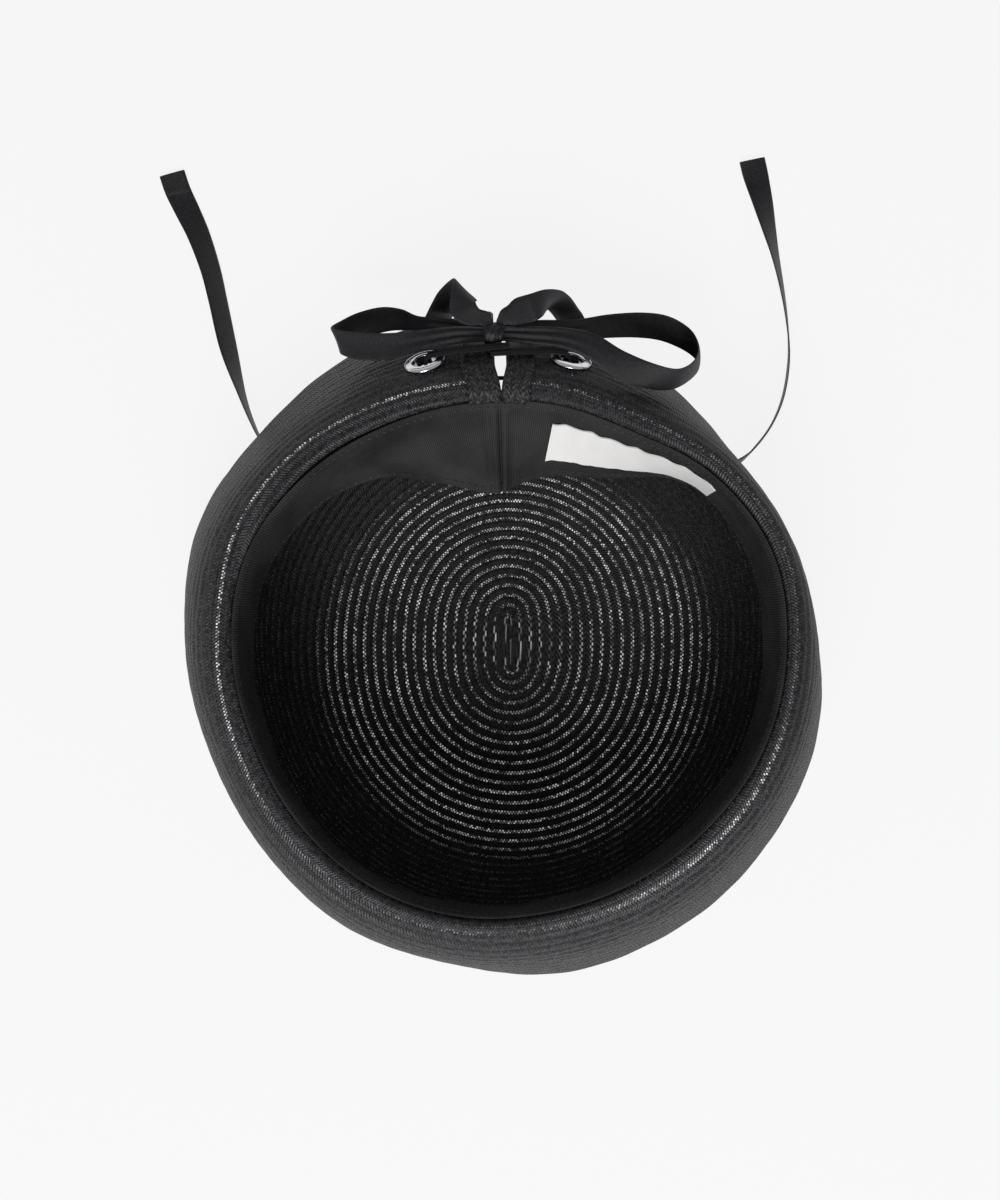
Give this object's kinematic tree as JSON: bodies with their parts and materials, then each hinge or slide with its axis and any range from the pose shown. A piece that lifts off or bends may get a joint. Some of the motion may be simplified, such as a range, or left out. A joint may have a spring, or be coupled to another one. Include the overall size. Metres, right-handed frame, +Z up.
{
  "type": "sailor cap",
  "caption": "Round braided cap with a deep soft crown, a turned brim slit at the back, metal eyelets and a ribbon bow with loose tails",
  "frame": {"origin": "middle of the crown tip's flat outer face, on the surface that the cap lies on upside down", "axes": "+Z up out of the head opening, +Y toward the slit and the bow at the back of the cap, +X to the right in the picture"},
  "size_m": [0.2401, 0.2929, 0.1079],
  "materials": {
    "crown_braid": "black paper-yarn braid sewn in a spiral, with fine glints in the valleys between rows",
    "brim_braid": "charcoal braid sewn row on row, satin",
    "facing_braid": "black herringbone braid strip",
    "sweatband_twill": "dark grey fine twill band, matt",
    "label_cloth": "off-white woven label, blank",
    "eyelet_metal": "bright nickel-plated metal",
    "ribbon": "black ribbed ribbon with a soft violet-grey sheen"
  },
  "bodies": {
    "root": {"crown": "crown_braid", "brim": "brim_braid", "sweatband": "sweatband_twill", "label": "label_cloth", "facing_left": "facing_braid", "facing_right": "facing_braid", "eyelet_left": "eyelet_metal", "eyelet_right": "eyelet_metal", "ribbon_lacing": "ribbon", "bow_knot": "ribbon", "bow_loop_left": "ribbon", "bow_loop_right": "ribbon", "ribbon_tail_left": "ribbon", "ribbon_tail_right": "ribbon"}
  },
  "joints": []
}
